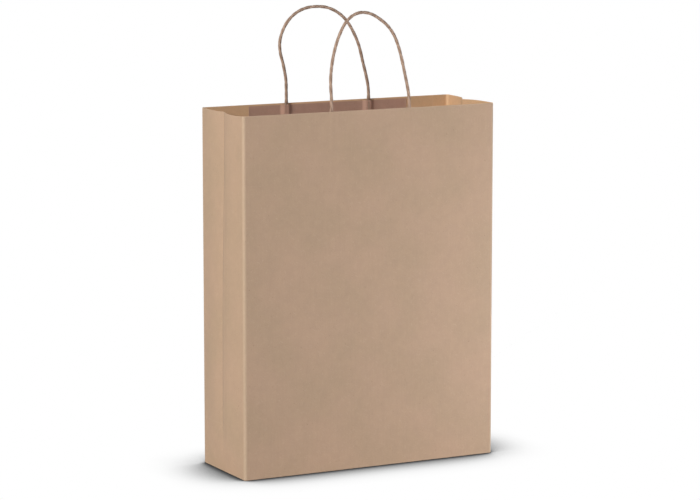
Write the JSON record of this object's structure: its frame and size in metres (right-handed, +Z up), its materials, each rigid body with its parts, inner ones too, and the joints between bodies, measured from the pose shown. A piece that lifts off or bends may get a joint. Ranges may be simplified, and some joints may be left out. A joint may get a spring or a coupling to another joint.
{
  "type": "paper gift bag",
  "caption": "Open-topped kraft paper carrier bag with gusseted sides, a folded block base and twin twisted paper cord handles.",
  "frame": {"origin": "centre of the base's outer face, on the surface that the bag stands on", "axes": "+Z up through the mouth, +X along the bag's width to the right as seen from the front, -Y out of the front panel"},
  "size_m": [0.35, 0.1206, 0.5719],
  "materials": {
    "kraft_paper": "matte unbleached kraft with fine fibres",
    "kraft_base": "matte unbleached kraft, glued layers",
    "handle_patch": "matte kraft strip, slightly darker",
    "twisted_cord": "tightly twisted kraft paper cord"
  },
  "bodies": {
    "front": {"front_panel": "kraft_paper", "front_patch_outer": "handle_patch", "front_patch_inner": "handle_patch", "front_cord_ends": "twisted_cord"},
    "left_gusset_front": {"left_gusset_front": "kraft_paper"},
    "left_gusset_back": {"left_gusset_back": "kraft_paper"},
    "right_gusset_front": {"right_gusset_front": "kraft_paper"},
    "right_gusset_back": {"right_gusset_back": "kraft_paper"},
    "back": {"back_panel": "kraft_paper", "seam_tab": "kraft_paper", "back_patch_outer": "handle_patch", "back_patch_inner": "handle_patch", "back_cord_ends": "twisted_cord"},
    "foot": {"back_foot": "kraft_paper"},
    "base": {"base_left_end_flap": "kraft_base", "base_right_end_flap": "kraft_base", "base_front_flap": "kraft_base", "base_back_flap": "kraft_base"},
    "left_base_gusset": {"left_base_gusset": "kraft_paper"},
    "right_base_gusset": {"right_base_gusset": "kraft_paper"},
    "left_foot_corner": {"left_foot_corner": "kraft_paper"},
    "right_foot_corner": {"right_foot_corner": "kraft_paper"},
    "front_handle": {"front_handle_cord": "twisted_cord"},
    "back_handle": {"back_handle_cord": "twisted_cord"}
  },
  "joints": [
    {"name": "fold_flat", "type": "hinge", "parent": "front", "child": "left_gusset_front", "pos_m": [-0.1748, -0.0598, 0], "axis": [0, 0, -1], "range_deg": [0, 86]},
    {"name": "left_centre_crease", "type": "hinge", "parent": "left_gusset_front", "child": "left_gusset_back", "pos_m": [-0.175, 0, 0], "axis": [0, 0, 1], "range_deg": [0, 172.02]},
    {"name": "back_left_corner", "type": "hinge", "parent": "left_gusset_back", "child": "back", "pos_m": [-0.1748, 0.0598, 0], "axis": [0, 0, -1], "range_deg": [0, 86.02]},
    {"name": "right_front_corner", "type": "hinge", "parent": "front", "child": "right_gusset_front", "pos_m": [0.1748, -0.0598, 0], "axis": [0, 0, 1], "range_deg": [0, 86.02]},
    {"name": "right_centre_crease", "type": "hinge", "parent": "right_gusset_front", "child": "right_gusset_back", "pos_m": [0.175, 0, 0], "axis": [0, 0, -1], "range_deg": [0, 172.02]},
    {"name": "back_cross_crease", "type": "hinge", "parent": "back", "child": "foot", "pos_m": [0, 0.06, 0.0606], "axis": [1, 0, 0], "range_deg": [0, 159.65]},
    {"name": "base_back_edge", "type": "hinge", "parent": "foot", "child": "base", "pos_m": [0, 0.0598, 0.0008], "axis": [-1, 0, 0], "range_deg": [0, 84.15]},
    {"name": "left_base_edge", "type": "hinge", "parent": "base", "child": "left_base_gusset", "pos_m": [-0.1748, 0, 0.0008], "axis": [0, 1, 0], "range_deg": [0, 88.02]},
    {"name": "right_base_edge", "type": "hinge", "parent": "base", "child": "right_base_gusset", "pos_m": [0.1748, 0, 0.0008], "axis": [0, -1, 0], "range_deg": [0, 88.02]},
    {"name": "left_foot_corner_crease", "type": "hinge", "parent": "foot", "child": "left_foot_corner", "pos_m": [-0.1748, 0.0598, 0], "axis": [0, 0, 1], "range_deg": [0, 88.02], "deforming": ["left_foot_corner"]},
    {"name": "right_foot_corner_crease", "type": "hinge", "parent": "foot", "child": "right_foot_corner", "pos_m": [0.1748, 0.0598, 0], "axis": [0, 0, -1], "range_deg": [0, 88.02], "deforming": ["right_foot_corner"]},
    {"name": "front_handle_swing", "type": "hinge", "parent": "front", "child": "front_handle", "pos_m": [0, -0.0583, 0.4524], "axis": [-1, 0, 0], "range_deg": [-90, 25]},
    {"name": "back_handle_swing", "type": "hinge", "parent": "back", "child": "back_handle", "pos_m": [0, 0.0583, 0.4524], "axis": [1, 0, 0], "range_deg": [-90, 25]}
  ],
  "couplings": [
    {"joint": "left_centre_crease", "follows": "fold_flat", "ratio": 2},
    {"joint": "back_left_corner", "follows": "fold_flat", "ratio": 1},
    {"joint": "right_front_corner", "follows": "fold_flat", "ratio": 1},
    {"joint": "right_centre_crease", "follows": "fold_flat", "ratio": 2},
    {"joint": "back_cross_crease", "follows": "fold_flat", "ratio": 1.8562},
    {"joint": "base_back_edge", "follows": "fold_flat", "ratio": 0.97826},
    {"joint": "left_base_edge", "follows": "fold_flat", "ratio": 1.0233},
    {"joint": "right_base_edge", "follows": "fold_flat", "ratio": 1.0233},
    {"joint": "left_foot_corner_crease", "follows": "fold_flat", "ratio": 1.0233},
    {"joint": "right_foot_corner_crease", "follows": "fold_flat", "ratio": 1.0233}
  ]
}
